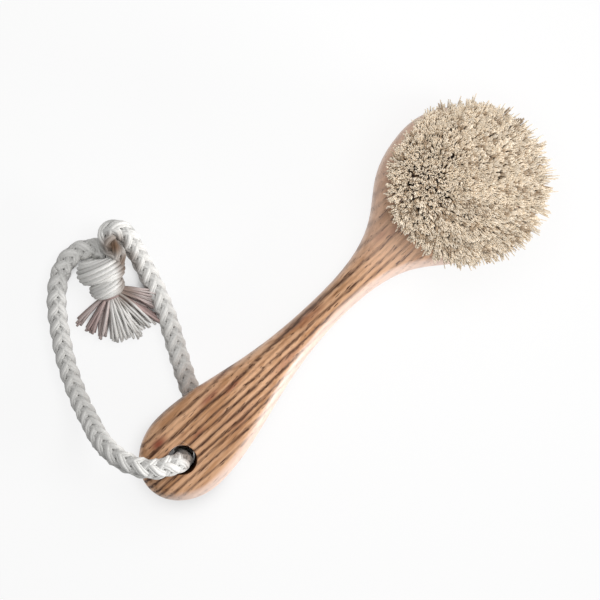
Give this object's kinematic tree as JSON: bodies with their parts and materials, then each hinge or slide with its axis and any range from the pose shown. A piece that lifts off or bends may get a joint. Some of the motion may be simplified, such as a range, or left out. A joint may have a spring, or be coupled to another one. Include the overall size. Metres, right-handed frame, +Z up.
{
  "type": "facial brush",
  "caption": "Wooden facial brush with a round head of natural hair tufts, a slim waisted handle and a knotted cotton hanging cord through the handle's end.",
  "frame": {"origin": "on the table under the middle of the brush without its cord", "axes": "+X along the handle towards the head, +Y to the left seen from above with the head ahead, +Z up out of the bristle face"},
  "size_m": [0.1453, 0.0857, 0.03],
  "materials": {
    "wood": "oiled, open-pored",
    "hair": "natural hair",
    "steel": "drawn flat wire",
    "cotton": "plaited cotton"
  },
  "bodies": {
    "brush": {"handle": "wood", "tufts_center": "hair", "tufts_inner": "hair", "tufts_middle": "hair", "tufts_outer": "hair", "anchor_01": "steel", "anchor_02": "steel", "anchor_03": "steel", "anchor_04": "steel", "anchor_05": "steel", "anchor_06": "steel", "anchor_07": "steel", "anchor_08": "steel", "anchor_09": "steel", "anchor_10": "steel", "anchor_11": "steel", "anchor_12": "steel", "anchor_13": "steel", "anchor_14": "steel", "anchor_15": "steel", "anchor_16": "steel", "anchor_17": "steel", "anchor_18": "steel", "anchor_19": "steel", "anchor_20": "steel", "anchor_21": "steel", "anchor_22": "steel", "anchor_23": "steel", "anchor_24": "steel", "anchor_25": "steel", "anchor_26": "steel", "anchor_27": "steel", "anchor_28": "steel", "anchor_29": "steel", "anchor_30": "steel", "anchor_31": "steel", "anchor_32": "steel", "anchor_33": "steel", "anchor_34": "steel", "anchor_35": "steel", "anchor_36": "steel", "anchor_37": "steel"},
    "cord": {"cord_front": "cotton", "cord_rear": "cotton", "cord_knot": "cotton", "frayed_end_left": "cotton", "frayed_end_right": "cotton"}
  },
  "joints": [
    {"name": "cord_swing", "type": "hinge", "parent": "brush", "child": "cord", "pos_m": [-0.0591, 0, 0.013], "axis": [0, 0, 1], "range_deg": [-25, 165]}
  ]
}
